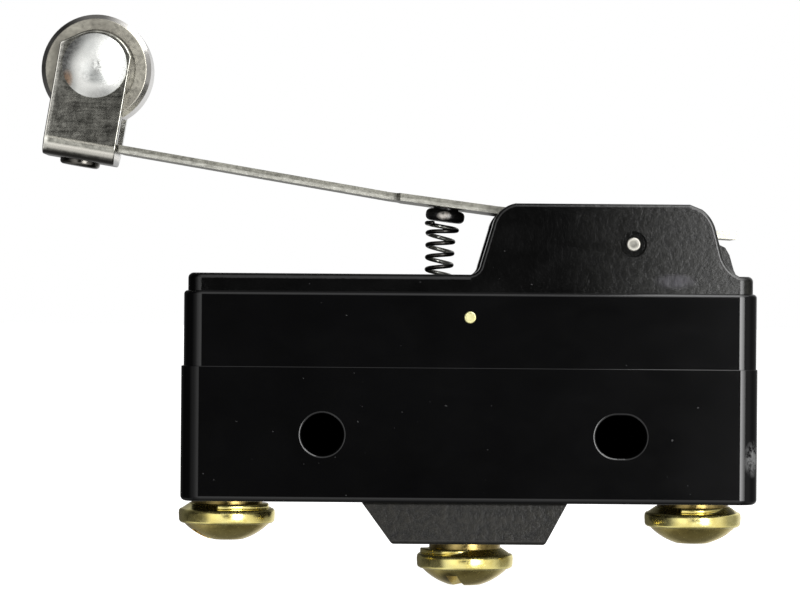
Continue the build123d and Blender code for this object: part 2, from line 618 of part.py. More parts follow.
with BuildPart() as common_terminal:
    terminal_body("common", CASE_BOTTOM)
    strip_left = CAVITY_LEFT + STRIP_GAP
    box_at(strip_left, COMMON_STRIP_RIGHT, -STRIP_HALF, STRIP_HALF, CAVITY_FLOOR, FLOOR_TOP)
    screw_hole("common", CASE_BOTTOM)
save(common_terminal, "common_terminal")

with BuildPart() as normally_closed_terminal:
    terminal_body("normally_closed", FOOT_BOTTOM)
    # along the floor, up the back wall and over the blade
    box_at(NC_STRIP_LEFT, NC_STRIP_RIGHT, -STRIP_HALF, STRIP_HALF, CAVITY_FLOOR, FLOOR_TOP)
    box_at(NC_RISER_LEFT, NC_STRIP_RIGHT, -STRIP_HALF, WALL_FACE, CAVITY_FLOOR, FLOOR_TOP)
    box_at(NC_RISER_LEFT, ARM_RIGHT, WALL_FACE - STRIP_T, WALL_FACE, CAVITY_FLOOR, NC_ARM_Z)
    box_at(ARM_LEFT, ARM_RIGHT, -STRIP_HALF, WALL_FACE, NC_ARM_Z, NC_ARM_Z + STRIP_T)
    screw_hole("normally_closed", FOOT_BOTTOM)
save(normally_closed_terminal, "normally_closed_terminal")

with BuildPart() as normally_open_terminal:
    terminal_body("normally_open", CASE_BOTTOM)
    strip_right, riser_right = CAVITY_RIGHT - STRIP_GAP, NO_RISER_LEFT + STRIP_T
    box_at(NO_RISER_LEFT, strip_right, -STRIP_HALF, STRIP_HALF, CAVITY_FLOOR, FLOOR_TOP)
    box_at(NO_RISER_LEFT, riser_right, -STRIP_HALF, STRIP_HALF, FLOOR_TOP, NO_ARM_Z + STRIP_T)
    box_at(ARM_LEFT, riser_right, -STRIP_HALF, STRIP_HALF, NO_ARM_Z, NO_ARM_Z + STRIP_T)
    screw_hole("normally_open", CASE_BOTTOM)
save(normally_open_terminal, "normally_open_terminal")

# ---- contacts ----

CONTACT_EDGE_R = 0.2

with BuildPart() as normally_closed_contact:
    upright(CONTACT_X, CONTACT_R, MOVING_TOP + CONTACT_CLEARANCE, NC_ARM_Z)
    fillet(normally_closed_contact.faces().sort_by(Axis.Z)[0].edges(), CONTACT_EDGE_R)
save(normally_closed_contact, "normally_closed_contact")

with BuildPart() as normally_open_contact:
    no_top = MOVING_BOTTOM - CONTACT_GAP
    upright(CONTACT_X, CONTACT_R, NO_ARM_Z + STRIP_T, no_top)
    fillet(normally_open_contact.faces().sort_by(Axis.Z)[-1].edges(), CONTACT_EDGE_R)
save(normally_open_contact, "normally_open_contact")

with BuildPart() as moving_contact:
    upright(CONTACT_X, CONTACT_SHANK_R, BLADE_Z, BLADE_Z + BLADE_T)
    upright(CONTACT_X, CONTACT_R, BLADE_Z + BLADE_T, MOVING_TOP)
    fillet(moving_contact.faces().sort_by(Axis.Z)[-1].edges(), CONTACT_EDGE_R)
    upright(CONTACT_X, CONTACT_R, MOVING_BOTTOM, BLADE_Z)
    fillet(moving_contact.faces().sort_by(Axis.Z)[0].edges(), CONTACT_EDGE_R)
save(moving_contact, "moving_contact")

# ---- snap blade: a frame with a bowed tongue in its window ----

with BuildPart() as snap_blade:
    with BuildSketch(Plane.XY.offset(BLADE_Z)):
        with Locations(((BLADE_LEFT + BLADE_RIGHT) / 2, 0)):
            RectangleRounded(BLADE_RIGHT - BLADE_LEFT, BLADE_W, BLADE_CORNER_R)
        with Locations(((WINDOW_LEFT + WINDOW_RIGHT) / 2, 0)):
            Rectangle(WINDOW_RIGHT - WINDOW_LEFT, WINDOW_W, mode=Mode.SUBTRACT)
        with Locations((CONTACT_X, 0)):
            Circle(CONTACT_SHANK_R, mode=Mode.SUBTRACT)
        with Locations((RIVET_X, 0)):
            Circle(BLADE_HOLE_R, mode=Mode.SUBTRACT)
    extrude(amount=BLADE_T)
    # the plunger pushes on a bridge across the window
    bridge_left, bridge_right = PLUNGER_X - BRIDGE_HALF, PLUNGER_X + BRIDGE_HALF
    box_at(bridge_left, bridge_right, -WINDOW_W / 2, WINDOW_W / 2, BLADE_Z, BLADE_Z + BLADE_T)
    with BuildSketch(Plane.XZ):
        with BuildLine():
            middle = BLADE_Z + BLADE_T / 2
            root = (WINDOW_RIGHT + TONGUE_ROOT, middle)
            ThreePointArc(root, TONGUE_LOW, (TONGUE_END, TONGUE_Z))
        trace(line_width=BLADE_T)
    extrude(amount=TONGUE_W / 2, both=True)
save(snap_blade, "snap_blade")

with BuildPart() as blade_anchor:
    # the post under the blade's root, with the rounded edge that the blade turns about
    anchor_right = BLADE_HINGE_X + ANCHOR_ROUND
    box_at(ANCHOR_LEFT, anchor_right, -ANCHOR_W / 2, ANCHOR_W / 2, FLOOR_TOP, ANCHOR_TOP)
    fillet(blade_anchor.faces().sort_by(Axis.Z)[-1].edges().sort_by(Axis.X)[-1], ANCHOR_ROUND)
    # a notched post that the tongue springs from, joined to it along the floor
    post_right = TONGUE_END - POST_GAP
    box_at(anchor_right, POST_LEFT, -TONGUE_W / 2, TONGUE_W / 2, FLOOR_TOP, FLOOR_TOP + STRIP_T)
    with BuildSketch(Plane.XZ):
        with BuildLine():
            Polyline(
                (POST_LEFT, FLOOR_TOP),
                (POST_LEFT, TONGUE_Z + NOTCH_HALF),
                (post_right, TONGUE_Z + NOTCH_HALF),
                (post_right - NOTCH_DEPTH, TONGUE_Z),
                (post_right, TONGUE_Z - NOTCH_HALF),
                (post_right, FLOOR_TOP),
                close=True,
            )
        make_face()
    extrude(amount=TONGUE_W / 2, both=True)
    upright(RIVET_X, RIVET_SHANK_R, FLOOR_TOP, ANCHOR_TOP, mode=Mode.SUBTRACT)
save(blade_anchor, "blade_anchor")

with BuildPart() as blade_rivet:
    head_z = BLADE_Z + BLADE_T + 2 * REST_GAP
    upright(RIVET_X, RIVET_SHANK_R, FLOOR_TOP, head_z)
    upright(RIVET_X, BLADE_RIVET_HEAD_R, head_z, head_z + BLADE_RIVET_HEAD_H)
    fillet(blade_rivet.faces().sort_by(Axis.Z)[-1].edges(), CONTACT_EDGE_R)
save(blade_rivet, "blade_rivet")

# ---- terminal screws with their cup washers ----

WASHER_BEVEL = 0.95                        # width of the washer's sloping shoulder
WASHER_SHOULDER = 0.48                     # height of the shoulder
WASHER_EDGE, SCREW_TIP = 0.2, 0.3

for name, x in TERMINAL_X.items():
    seat = FOOT_BOTTOM if name == "normally_closed" else CASE_BOTTOM
    washer_top = seat - NECK_H[name]
    washer_bottom = washer_top - WASHER_H
    head_top = washer_top - WASHER_SHEET
    head_bottom = washer_bottom - HEAD_H
    with BuildPart() as cup_washer:
        with BuildSketch(Plane.XZ):
            with BuildLine():
                Polyline(
                    (x + SCREW_R, washer_top),
                    (x + WASHER_R - WASHER_BEVEL, washer_top),
                    (x + WASHER_R - WASHER_EDGE, washer_top - WASHER_SHOULDER),
                    (x + WASHER_R, washer_top - WASHER_SHOULDER - WASHER_EDGE),
                    (x + WASHER_R, washer_bottom + WASHER_EDGE),
                    (x + WASHER_R - WASHER_EDGE, washer_bottom),
                    (x + HEAD_R, washer_bottom),
                    (x + HEAD_R, washer_top - WASHER_SHOULDER - WASHER_SHEET),
                    (x + WASHER_R - WASHER_BEVEL, head_top),
                    (x + SCREW_R, head_top),
                    close=True,
                )
            make_face()
        revolve(axis=Axis((x, 0, 0), (0, 0, 1)))
    save(cup_washer, f"{name}_cup_washer")

    with BuildPart() as screw:
        with BuildSketch(Plane.XZ):
            with BuildLine():
                Polyline(
                    (x, head_bottom),
                    (x, seat + SCREW_REACH),
                    (x + SCREW_R - SCREW_TIP, seat + SCREW_REACH),
                    (x + SCREW_R, seat + SCREW_REACH - SCREW_TIP),
                    (x + SCREW_R, head_top),
                    (x + WASHER_R - WASHER_BEVEL, head_top),
                    (x + HEAD_R, washer_top - WASHER_SHOULDER - WASHER_SHEET),
                    (x + HEAD_R, washer_bottom),
                )
                ThreePointArc(
                    (x + HEAD_R, washer_bottom),
                    (x + HEAD_BULGE_R, washer_bottom - HEAD_BULGE_H),
                    (x + HEAD_TIP_R, head_bottom),
                )
                Line((x + HEAD_TIP_R, head_bottom), (x, head_bottom))
            make_face()
        revolve(axis=Axis((x, 0, 0), (0, 0, 1)))
        with Locations(Location((x, 0, head_bottom), (0, 0, SLOT_TURN[name]))):
            Box(2 * WASHER_R, SCREW_SLOT_W, 2 * SCREW_SLOT_DEPTH, mode=Mode.SUBTRACT)
    save(screw, f"{name}_screw")
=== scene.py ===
import bpy
import json
from math import cos, pi, radians, sin
from mathutils import Matrix, Vector


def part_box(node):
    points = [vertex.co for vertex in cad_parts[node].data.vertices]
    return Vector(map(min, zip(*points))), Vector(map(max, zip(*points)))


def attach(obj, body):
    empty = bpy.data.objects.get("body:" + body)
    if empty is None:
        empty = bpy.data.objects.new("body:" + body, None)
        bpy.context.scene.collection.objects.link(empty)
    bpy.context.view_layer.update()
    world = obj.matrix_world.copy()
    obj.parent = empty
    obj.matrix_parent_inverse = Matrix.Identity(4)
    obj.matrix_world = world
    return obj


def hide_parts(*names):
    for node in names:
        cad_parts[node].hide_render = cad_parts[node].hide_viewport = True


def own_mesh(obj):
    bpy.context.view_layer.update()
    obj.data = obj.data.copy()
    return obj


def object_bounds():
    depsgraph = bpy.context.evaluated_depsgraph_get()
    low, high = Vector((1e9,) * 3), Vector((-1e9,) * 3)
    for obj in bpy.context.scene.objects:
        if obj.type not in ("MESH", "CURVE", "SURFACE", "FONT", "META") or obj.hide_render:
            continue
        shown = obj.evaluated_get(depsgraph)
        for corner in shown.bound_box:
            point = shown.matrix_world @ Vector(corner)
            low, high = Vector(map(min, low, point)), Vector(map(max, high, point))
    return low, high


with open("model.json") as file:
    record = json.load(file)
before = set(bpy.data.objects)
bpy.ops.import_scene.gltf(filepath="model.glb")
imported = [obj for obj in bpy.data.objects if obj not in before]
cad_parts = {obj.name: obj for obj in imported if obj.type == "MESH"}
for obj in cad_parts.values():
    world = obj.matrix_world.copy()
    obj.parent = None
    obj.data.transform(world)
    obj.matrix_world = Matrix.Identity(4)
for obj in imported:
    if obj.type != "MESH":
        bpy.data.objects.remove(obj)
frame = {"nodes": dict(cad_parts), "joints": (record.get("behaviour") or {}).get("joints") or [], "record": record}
cad_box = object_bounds()
scene = bpy.context.scene
nodes = frame["nodes"]
joints = {joint["name"]: joint for joint in frame["joints"]}
mounts = {mount["name"]: mount for mount in frame["record"]["mounts"]}
MM = 0.001

# centres that looks are measured from, in mm
PIVOT = [metres / MM for metres in joints["lever_hinge"]["pos_m"]]
ROLLER_CENTRE = [metres / MM for metres in joints["roller_spin"]["pos_m"]]


# ---------------------------------------------------------------- materials

def add_node(tree, kind, inputs, **settings):
    """A new shader node. inputs gives its sockets, by name or number, a link or a plain value."""
    node = tree.nodes.new("ShaderNode" + kind)
    for setting, value in settings.items():
        setattr(node, setting, value)
    for socket, value in inputs.items():
        if isinstance(value, bpy.types.NodeSocket):
            tree.links.new(value, node.inputs[socket])
        else:
            node.inputs[socket].default_value = value
    return node


class Surface:
    """A material with its nodes, and short calls for the nodes that the surfaces share.

    tone, gloss and normal are its colour, roughness and bumps as far as they are built up."""

    def __init__(self, name, color, metallic, roughness):
        self.material = bpy.data.materials.new(name)
        self.material.use_nodes = True
        self.tree = self.material.node_tree
        self.bsdf = self.tree.nodes["Principled BSDF"]
        self.bsdf.inputs["Base Color"].default_value = (*color, 1)
        self.bsdf.inputs["Metallic"].default_value = metallic
        self.bsdf.inputs["Roughness"].default_value = roughness
        self.coordinates = self.add("TexCoord", {}).outputs["Object"]
        self.tone = self.gloss = self.normal = None

    def add(self, kind, inputs, **settings):
        return add_node(self.tree, kind, inputs, **settings)

    def use(self, source, socket):
        self.tree.links.new(source, self.bsdf.inputs[socket])

    def finished(self):
        """The material, once its colour, roughness and bumps are built up."""
        self.use(self.tone, "Base Color")
        self.use(self.gloss, "Roughness")
        self.use(self.normal, "Normal")
        return self.material

    # places

    def mapped(self, scale):
        """Object coordinates in mm, times a scale for each axis."""
        inputs = {"Vector": self.coordinates, "Scale": [s / MM for s in scale]}
        return self.add("Mapping", inputs).outputs["Vector"]

    def axis(self, name):
        """One object coordinate, in mm."""
        return self.add("SeparateXYZ", {"Vector": self.mapped((1, 1, 1))}).outputs[name]

    def along(self, direction):
        """How far a point lies along a direction, in mm."""
        inputs = {0: self.mapped((1, 1, 1)), 1: direction}
        return self.add("VectorMath", inputs, operation="DOT_PRODUCT").outputs["Value"]

    def distance(self, centre, radii):
        """Distance from a centre in mm, in units of the radii; an axis whose radius is None is left out."""
        inputs = {
            "Vector": self.coordinates,
            "Scale": [1 / (r * MM) if r else 0 for r in radii],
            "Location": [-c / r if r else 0 for c, r in zip(centre, radii)],
        }
        scaled = self.add("Mapping", inputs).outputs["Vector"]
        return self.add("VectorMath", {0: scaled}, operation="LENGTH").outputs["Value"]

    def line_distance(self, centre):
        """Distance in mm from a line along Y."""
        return self.distance(centre, (1, None, 1))

    def spot(self, centre, radii):
        """A soft ellipsoid about a point in mm: 1 in its inner third, fading to 0 at its radii."""
        return self.fall(self.distance(centre, radii), 0.35, 1)

    # values

    def noise(self, scale, detail=4, roughness=0.5, distortion=0):
        """Noise with a scale per mm, which is one number or one for each axis."""
        inputs = {
            "Vector": self.mapped(scale if isinstance(scale, tuple) else (scale, scale, scale)),
            "Scale": 1,
            "Detail": detail,
            "Roughness": roughness,
            "Distortion": distortion,
        }
        return self.add("TexNoise", inputs).outputs["Fac"]

    def scale_range(self, value, low, high, start=0.3, end=0.7):
        """Goes from low to high as the value goes from start to end; most noise is in 0.3 to 0.7."""
        inputs = {"Value": value, "From Min": start, "From Max": end, "To Min": low, "To Max": high}
        return self.add("MapRange", inputs).outputs["Result"]

    def rise(self, value, start, end):
        return self.scale_range(value, 0, 1, start, end)

    def fall(self, value, start, end):
        return self.scale_range(value, 1, 0, start, end)

    def stripe(self, value, start, full, fading, end):
        """1 from full to fading, and 0 before start and after end."""
        return self.product(self.rise(value, start, full), self.fall(value, fading, end))

    def ramp(self, value, start, end):
        """A colour ramp that is black up to start and white from end."""
        node = self.add("ValToRGB", {"Fac": value})
        for element, position in zip(node.color_ramp.elements, (start, end)):
            element.position = position
        return node.outputs["Color"]

    def math(self, operation, *values):
        """A math node on sockets or plain numbers."""
        return self.add("Math", dict(enumerate(values)), operation=operation).outputs["Value"]

    def product(self, a, b):
        return self.math("MULTIPLY", a, b)

    def mix(self, factor, a, b):
        """Colours a and b, each a socket or a plain colour, mixed by a factor."""
        a, b = (c if isinstance(c, bpy.types.NodeSocket) else (*c, 1) for c in (a, b))
        return self.add("Mix", {0: factor, 6: a, 7: b}, data_type="RGBA").outputs[2]

    # what the surface is built up from

    def paint(self, factor, color):
        """Moves the colour towards another one by a factor."""
        self.tone = self.mix(factor, self.tone, color)

    def dull(self, factor, roughness):
        """Moves the roughness towards a plain value by a factor."""
        self.gloss = self.add("Mix", {0: factor, 2: self.gloss, 3: roughness}).outputs[0]

    def bump(self, height, depth_mm):
        """Adds bumps of a depth to those that are there."""
        inputs = {"Height": height, "Distance": depth_mm * MM}
        if self.normal is not None:
            inputs["Normal"] = self.normal
        self.normal = self.add("Bump", inputs).outputs["Normal"]


def plastic(name, color, roughness, grain):
    """Black moulding: fine grain, faint flow marks and a few pale specks of dust."""
    s = Surface(name, color, 0, roughness)
    cloud = s.noise(0.12, detail=3)
    flow = s.noise((0.3, 0.3, 0.5), detail=4, distortion=0.6)
    specks = s.ramp(s.noise(2.2, detail=2), 0.75, 0.775)
    s.tone = s.mix(s.scale_range(cloud, 0, 1), [c * 0.8 for c in color], [c * 1.25 for c in color])
    s.paint(specks, (0.04, 0.04, 0.04))
    s.gloss = s.scale_range(flow, roughness * 0.85, roughness * 1.2)
    s.bump(s.noise(2.4, detail=5, roughness=0.65), grain)
    return s


def turned_metal(name, dark, light, roughness, tarnish_depth=0.006):
    """Bright turned or stamped metal with a little tarnish and fine tool marks."""
    s = Surface(name, light, 1, roughness)
    tarnish = s.noise(0.5, detail=5, roughness=0.6)
    marks = s.noise(4, detail=3)
    s.tone = s.mix(s.rise(tarnish, 0.35, 0.65), dark, light)
    s.gloss = s.scale_range(marks, roughness * 0.7, roughness * 1.4)
    s.bump(tarnish, tarnish_depth)
    return s


def dull_ends(s):
    """Less shine on the two ends of the case and its cover and round their upright corners."""
    right = s.scale_range(s.axis("X"), 0.5, 0.14, start=35.5, end=35.85)
    left = s.scale_range(s.axis("X"), 0.25, 1, start=-10.85, end=-10.35)
    s.use(s.product(right, left), "Specular IOR Level")


def case_moulding():
    """Glossy black case; its foot is matte and paler, and one corner is scuffed."""
    s = plastic("case_moulding", (0.0015, 0.0015, 0.0016), 0.09, 0.0008)
    mottle = s.noise(1.6, detail=4, roughness=0.7)
    foot = s.rise(s.axis("Z"), -5.7, -6.0)
    foot_tone = s.mix(s.rise(mottle, 0.36, 0.64), (0.0010, 0.0009, 0.0006), (0.0105, 0.0095, 0.0068))
    s.paint(foot, foot_tone)
    s.dull(foot, 0.27)
    s.bump(s.product(foot, mottle), 0.03)
    towards_right = s.scale_range(s.axis("X"), 0, 0.6, start=14, end=36)
    s.dull(towards_right, 0.14)
    dull_ends(s)
    corner = s.spot(centre=(36.6, -8.1, -1.8), radii=(0.9, 1.6, 1.7))
    scuff = s.product(corner, s.ramp(mottle, 0.42, 0.6))
    s.paint(scuff, (0.11, 0.11, 0.11))
    s.dull(scuff, 0.6)
    return s.finished()


def cover_moulding():
    """Black cover, grainy, with a painted sheen that greys it towards the hinge, and a dull smear low on its front
    face.
    """
    s = plastic("cover_moulding", (0.0010, 0.0010, 0.0010), 0.12, 0.002)
    grains = s.noise(1.7, detail=3, roughness=0.7)
    # painted sheen: the face is painted greyer towards the hinge, where the light from the right falls on it
    painted_sheen = s.rise(s.axis("X"), 20.5, 34)
    s.paint(painted_sheen, s.mix(s.rise(grains, 0.35, 0.65), (0.003, 0.003, 0.0026), (0.0105, 0.0105, 0.009)))
    s.dull(painted_sheen, 0.27)
    s.bump(grains, 0.024)
    low_front = s.spot(centre=(30.0, -8.3, 13.25), radii=(2.0, 0.6, 0.75))
    smear = s.product(low_front, s.scale_range(grains, 0.3, 1))
    s.paint(smear, (0.045, 0.043, 0.050))
    # the flat top beside the cheeks is matte
    s.dull(s.product(s.rise(s.axis("Z"), 13.62, 13.68), s.fall(s.axis("X"), 11.5, 12.5)), 0.6)
    # the sunk ring round the pivot pin is smooth and black
    ring = s.fall(s.line_distance(PIVOT), 1.08, 1.16)
    s.paint(ring, (0.0012, 0.0012, 0.0010))
    s.dull(ring, 0.15)
    dull_ends(s)
    return s.finished()


def bracket_steel():
    """Dark scuffed strip with painted highlights on a thin line, its lower bend and its left edge, a painted light
    that makes its far ear pale, and painted shade on its underside."""
    s = Surface("bracket_steel", (0.3, 0.3, 0.28), 1, 0.17)
    blotches = s.noise(1.1, detail=6, roughness=0.7)
    streaks = s.noise((0.4, 3.0, 3.0), detail=5, roughness=0.7)
    # the bracket leans with the lever's strip, so its bands follow a tilted height
    height = s.along((0.1666, 0, 1))
    s.tone = s.mix(s.rise(blotches, 0.38, 0.62), (0.19, 0.187, 0.165), (0.47, 0.462, 0.41))
    # painted highlights where the light catches a thin line above the bend, the lower bend and the left edge
    painted_highlight_line = s.stripe(height, 21.28, 21.38, 21.44, 21.56)
    painted_bend_highlight = s.stripe(height, 20.35, 20.54, 20.80, 20.98)
    painted_edge_highlight = s.fall(s.along((0.987, 0, -0.1623)), -27.88, -27.70)
    # painted light: the far ear is painted pale where it shows lit
    painted_far_ear_light = s.rise(s.axis("Y"), 1.8, 2.2)
    # painted shade on the underside below the bend, which faces down
    underside = s.fall(height, 20.15, 20.40)
    # paint the highlights, the light on the far ear and the shade on the underside
    s.paint(painted_highlight_line, (0.62, 0.60, 0.52))
    s.paint(painted_bend_highlight, (0.98, 0.95, 0.86))
    s.paint(painted_edge_highlight, (0.92, 0.90, 0.82))
    s.paint(painted_far_ear_light, (0.93, 0.93, 0.90))
    s.paint(underside, (0.10, 0.095, 0.085))
    s.gloss = s.scale_range(streaks, 0.13, 0.24)
    s.bump(streaks, 0.004)
    s.bump(blotches, 0.014)
    return s.finished()


def button_black():
    """Blackened button with a painted highlight, broken into patches, at the front of its side."""
    s = plastic("button_black", (0.006, 0.006, 0.006), 0.25, 0.004)
    painted_highlight_patches = s.rise(s.noise(2.2), 0.35, 0.55)
    # painted highlight: a pale spot where the light glints on the front of the button's side
    front = s.spot(centre=(10.3, -1.7, 18.85), radii=(0.7, 0.7, 0.42))
    s.paint(s.product(front, painted_highlight_patches), (0.75, 0.70, 0.64))
    return s.finished()


def axle_steel():
    """Polished head with a greasy smudge under its middle and a painted orange-brown reflection at one side."""
    s = Surface("axle_steel", (0.8, 0.8, 0.8), 1, 0.28)
    tarnish = s.noise(0.6, detail=4, roughness=0.5)
    marks = s.noise(4, detail=3)
    s.tone = s.mix(s.rise(tarnish, 0.35, 0.65), (0.66, 0.67, 0.65), (0.80, 0.80, 0.77))
    under_middle = s.spot(centre=(-19.75, -4.5, 30.5), radii=(1.5, 4, 0.75))
    s.paint(s.product(under_middle, marks), (0.10, 0.11, 0.11))
    # painted reflection: an orange-brown tint at one side, where the head reflects something orange
    painted_reflection_tint = s.spot(centre=(-22.35, -4.2, 30.35), radii=(0.6, 3, 0.9))
    s.paint(painted_reflection_tint, (0.80, 0.56, 0.40))
    s.gloss = s.scale_range(marks, 0.2, 0.36)
    s.bump(tarnish, 0.006)
    return s.finished()


def screw_brass():
    """Turned brass; the end of the middle screw's slot, which shows, is painted dark as shade in the slot."""
    s = turned_metal("screw_brass", (0.62, 0.48, 0.14), (0.84, 0.70, 0.24), 0.2)
    # painted shade in the slot of the middle screw
    painted_slot_shade = s.spot(centre=(10.95, -2.6, -12.4), radii=(1.0, 2.2, 0.9))
    s.paint(painted_slot_shade, (0.25, 0.20, 0.06))
    return s.finished()


def spring_wire():
    """Oiled wire, painted dark at the front of the coils as painted shade and pale at their back as painted light.
    """
    s = Surface("spring_steel", (0.1, 0.1, 0.1), 1, 0.3)
    film = s.noise(1.5, detail=4)
    # painted light and shade: the back of the coils is painted pale and the front dark
    back = s.rise(s.axis("Y"), -0.5, 0.5)
    s.tone = s.mix(back, (0.035, 0.034, 0.032), (0.50, 0.50, 0.46))
    s.paint(s.scale_range(film, 0, 0.35), (0.12, 0.11, 0.10))
    s.gloss = s.scale_range(film, 0.22, 0.42)
    s.bump(film, 0.004)
    return s.finished()


# the middle line of the lever's strip as (x, z) in mm, from its end in the bracket to its tail
LEVER_LINE = ((-23.92, 25.40), (5.50, 20.50), (14.80, 19.30), (33.40, 17.38), (35.60, 17.27))


def lever_steel():
    """The lever's strip; its sheared edge is painted dark above as painted shade and bright below as painted
    light, there is painted shade along the strip towards the hinge, and painted light on its tail."""
    s = Surface("lever_steel", (0.4, 0.4, 0.36), 1, 0.4)
    length = s.axis("X")
    # the strip's middle line is the highest of the lines through its straight lengths, and above 0
    middle = 0
    for (x0, z0), (x1, z1) in zip(LEVER_LINE, LEVER_LINE[1:]):
        slope = (z1 - z0) / (x1 - x0)
        middle = s.math("MAXIMUM", middle, s.math("MULTIPLY_ADD", length, slope, z0 - slope * x0))
    above_middle = s.math("SUBTRACT", s.axis("Z"), middle)
    blotches = s.noise(1.8, detail=6, roughness=0.75)
    streaks = s.noise((0.15, 3.0, 3.0), detail=5, roughness=0.7)
    # painted shade on the upper half of the sheared edge and painted light on its lower half, which faces the
    # bright floor
    upper = s.mix(s.rise(blotches, 0.36, 0.60), (0.11, 0.108, 0.092), (0.27, 0.265, 0.23))
    lower = s.mix(s.rise(blotches, 0.40, 0.60), (0.31, 0.305, 0.27), (0.46, 0.455, 0.41))
    s.tone = s.mix(s.rise(above_middle, -0.10, 0.02), lower, upper)
    # painted shade along the strip towards the hinge
    painted_shade_towards_hinge = s.scale_range(length, 0, 0.45, start=-6, end=14)
    # painted light on the bright, front-lit tail
    tail = s.rise(length, 33.2, 34.2)
    s.paint(painted_shade_towards_hinge, (0.15, 0.147, 0.127))
    s.paint(tail, (0.46, 0.45, 0.39))
    s.gloss = s.scale_range(streaks, 0.3, 0.52)
    s.bump(streaks, 0.012)
    s.bump(blotches, 0.012)
    return s.finished()


def roller_steel():
    """Satin flanks; the tread and its chamfers are polished by use."""
    s = Surface("roller_steel", (0.3, 0.29, 0.27), 1, 0.38)
    tarnish = s.noise(0.5, detail=5, roughness=0.6)
    marks = s.noise(3, detail=3)
    worn = s.rise(s.line_distance(ROLLER_CENTRE), 4.36, 4.44)
    s.tone = s.mix(s.rise(tarnish, 0.35, 0.65), (0.24, 0.228, 0.195), (0.35, 0.335, 0.285))
    s.paint(worn, (0.84, 0.82, 0.78))
    s.gloss = s.scale_range(marks, 0.30, 0.48)
    s.dull(worn, 0.16)
    s.bump(tarnish, 0.006)
    return s.finished()


def pin_steel():
    """The pivot pin's end: a greyish middle in a rim painted brighter as a painted highlight."""
    s = Surface("pin_steel", (0.3, 0.29, 0.26), 1, 0.35)
    marks = s.noise(3, detail=4)
    # painted highlight on the rim of the pin's end
    rim = s.rise(s.line_distance(PIVOT), 0.26, 0.42)
    s.tone = s.mix(s.scale_range(marks, 0, 1), (0.13, 0.127, 0.112), (0.19, 0.186, 0.165))
    s.paint(rim, (0.33, 0.32, 0.285))
    s.gloss = s.scale_range(marks, 0.28, 0.45)
    s.bump(marks, 0.004)
    return s.finished()


FINISH = {
    "case_moulding": case_moulding(),
    "cover_moulding": cover_moulding(),
    "plunger_moulding": plastic("plunger_moulding", (0.03, 0.022, 0.016), 0.4, 0.004).finished(),
    "button_black": button_black(),
    "lever_steel": lever_steel(),
    "bracket_steel": bracket_steel(),
    "roller_steel": roller_steel(),
    "axle_steel": axle_steel(),
    "pin_steel": pin_steel(),
    "spring_steel": spring_wire(),
    "screw_brass": screw_brass(),
}
# dark and light colours, roughness and, where it isn't the usual one, the depth of the tarnish
TURNED_METALS = {
    "washer_brass": ((0.84, 0.70, 0.22), (1.0, 0.90, 0.38), 0.22),
    # terminal_brass is brass painted dark: painted shade on the terminal boss under its washer
    "terminal_brass": ((0.12, 0.085, 0.025), (0.50, 0.38, 0.14), 0.25),
    "pin_brass": ((0.46, 0.43, 0.21), (0.56, 0.54, 0.30), 0.4, 0.002),
    "blade_copper": ((0.5, 0.26, 0.12), (0.75, 0.45, 0.25), 0.3),
    "contact_silver": ((0.7, 0.7, 0.68), (0.9, 0.9, 0.88), 0.3),
}
for metal, looks in TURNED_METALS.items():
    FINISH[metal] = turned_metal(metal, *looks).finished()

for part in frame["record"]["subparts"]:
    mesh = nodes[part["node"]].data
    mesh.materials.clear()
    mesh.materials.append(FINISH[part["material_slot"]])


# ---------------------------------------------------------------- shapes

def piece(name, points, faces, finish):
    """A smooth mesh object of the given points in metres and with a finish."""
    mesh = bpy.data.meshes.new(name)
    mesh.from_pydata([tuple(p) for p in points], [], faces)
    mesh.validate()
    mesh.update()
    for polygon in mesh.polygons:
        polygon.use_smooth = True
    mesh.materials.append(FINISH[finish])
    obj = bpy.data.objects.new(name, mesh)
    scene.collection.objects.link(obj)
    return obj


def tube(points, radius, sides):
    """Vertices and faces of a round bar along points, closed with caps at both ends."""
    vertices, faces = [], []
    across = None
    for i, point in enumerate(points):
        ahead = (points[min(i + 1, len(points) - 1)] - points[max(i - 1, 0)]).normalized()
        if across is None:
            across = ahead.orthogonal().normalized()
        across = (across - ahead * across.dot(ahead)).normalized()
        upward = ahead.cross(across)
        for k in range(sides):
            turn = 2 * pi * k / sides
            vertices.append(point + radius * (across * cos(turn) + upward * sin(turn)))
    for i in range(len(points) - 1):
        for k in range(sides):
            a, b = i * sides + k, i * sides + (k + 1) % sides
            faces.append((a, b, b + sides, a + sides))
    faces.append(tuple(reversed(range(sides))))
    faces.append(tuple(range((len(points) - 1) * sides, len(points) * sides)))
    return vertices, faces


# ---------------------------------------------------------------- overtravel spring

def coil_rise(t):
    """How far up the spring its wire is, from 0 to 1, at a share t of its length: flat at both ends."""
    closed, closed_rise = 0.07, 0.03
    if t < closed:
        return closed_rise * t / closed
    if t > 1 - closed:
        return 1 - closed_rise * (1 - t) / closed
    return closed_rise + (1 - 2 * closed_rise) * (t - closed) / (1 - 2 * closed)


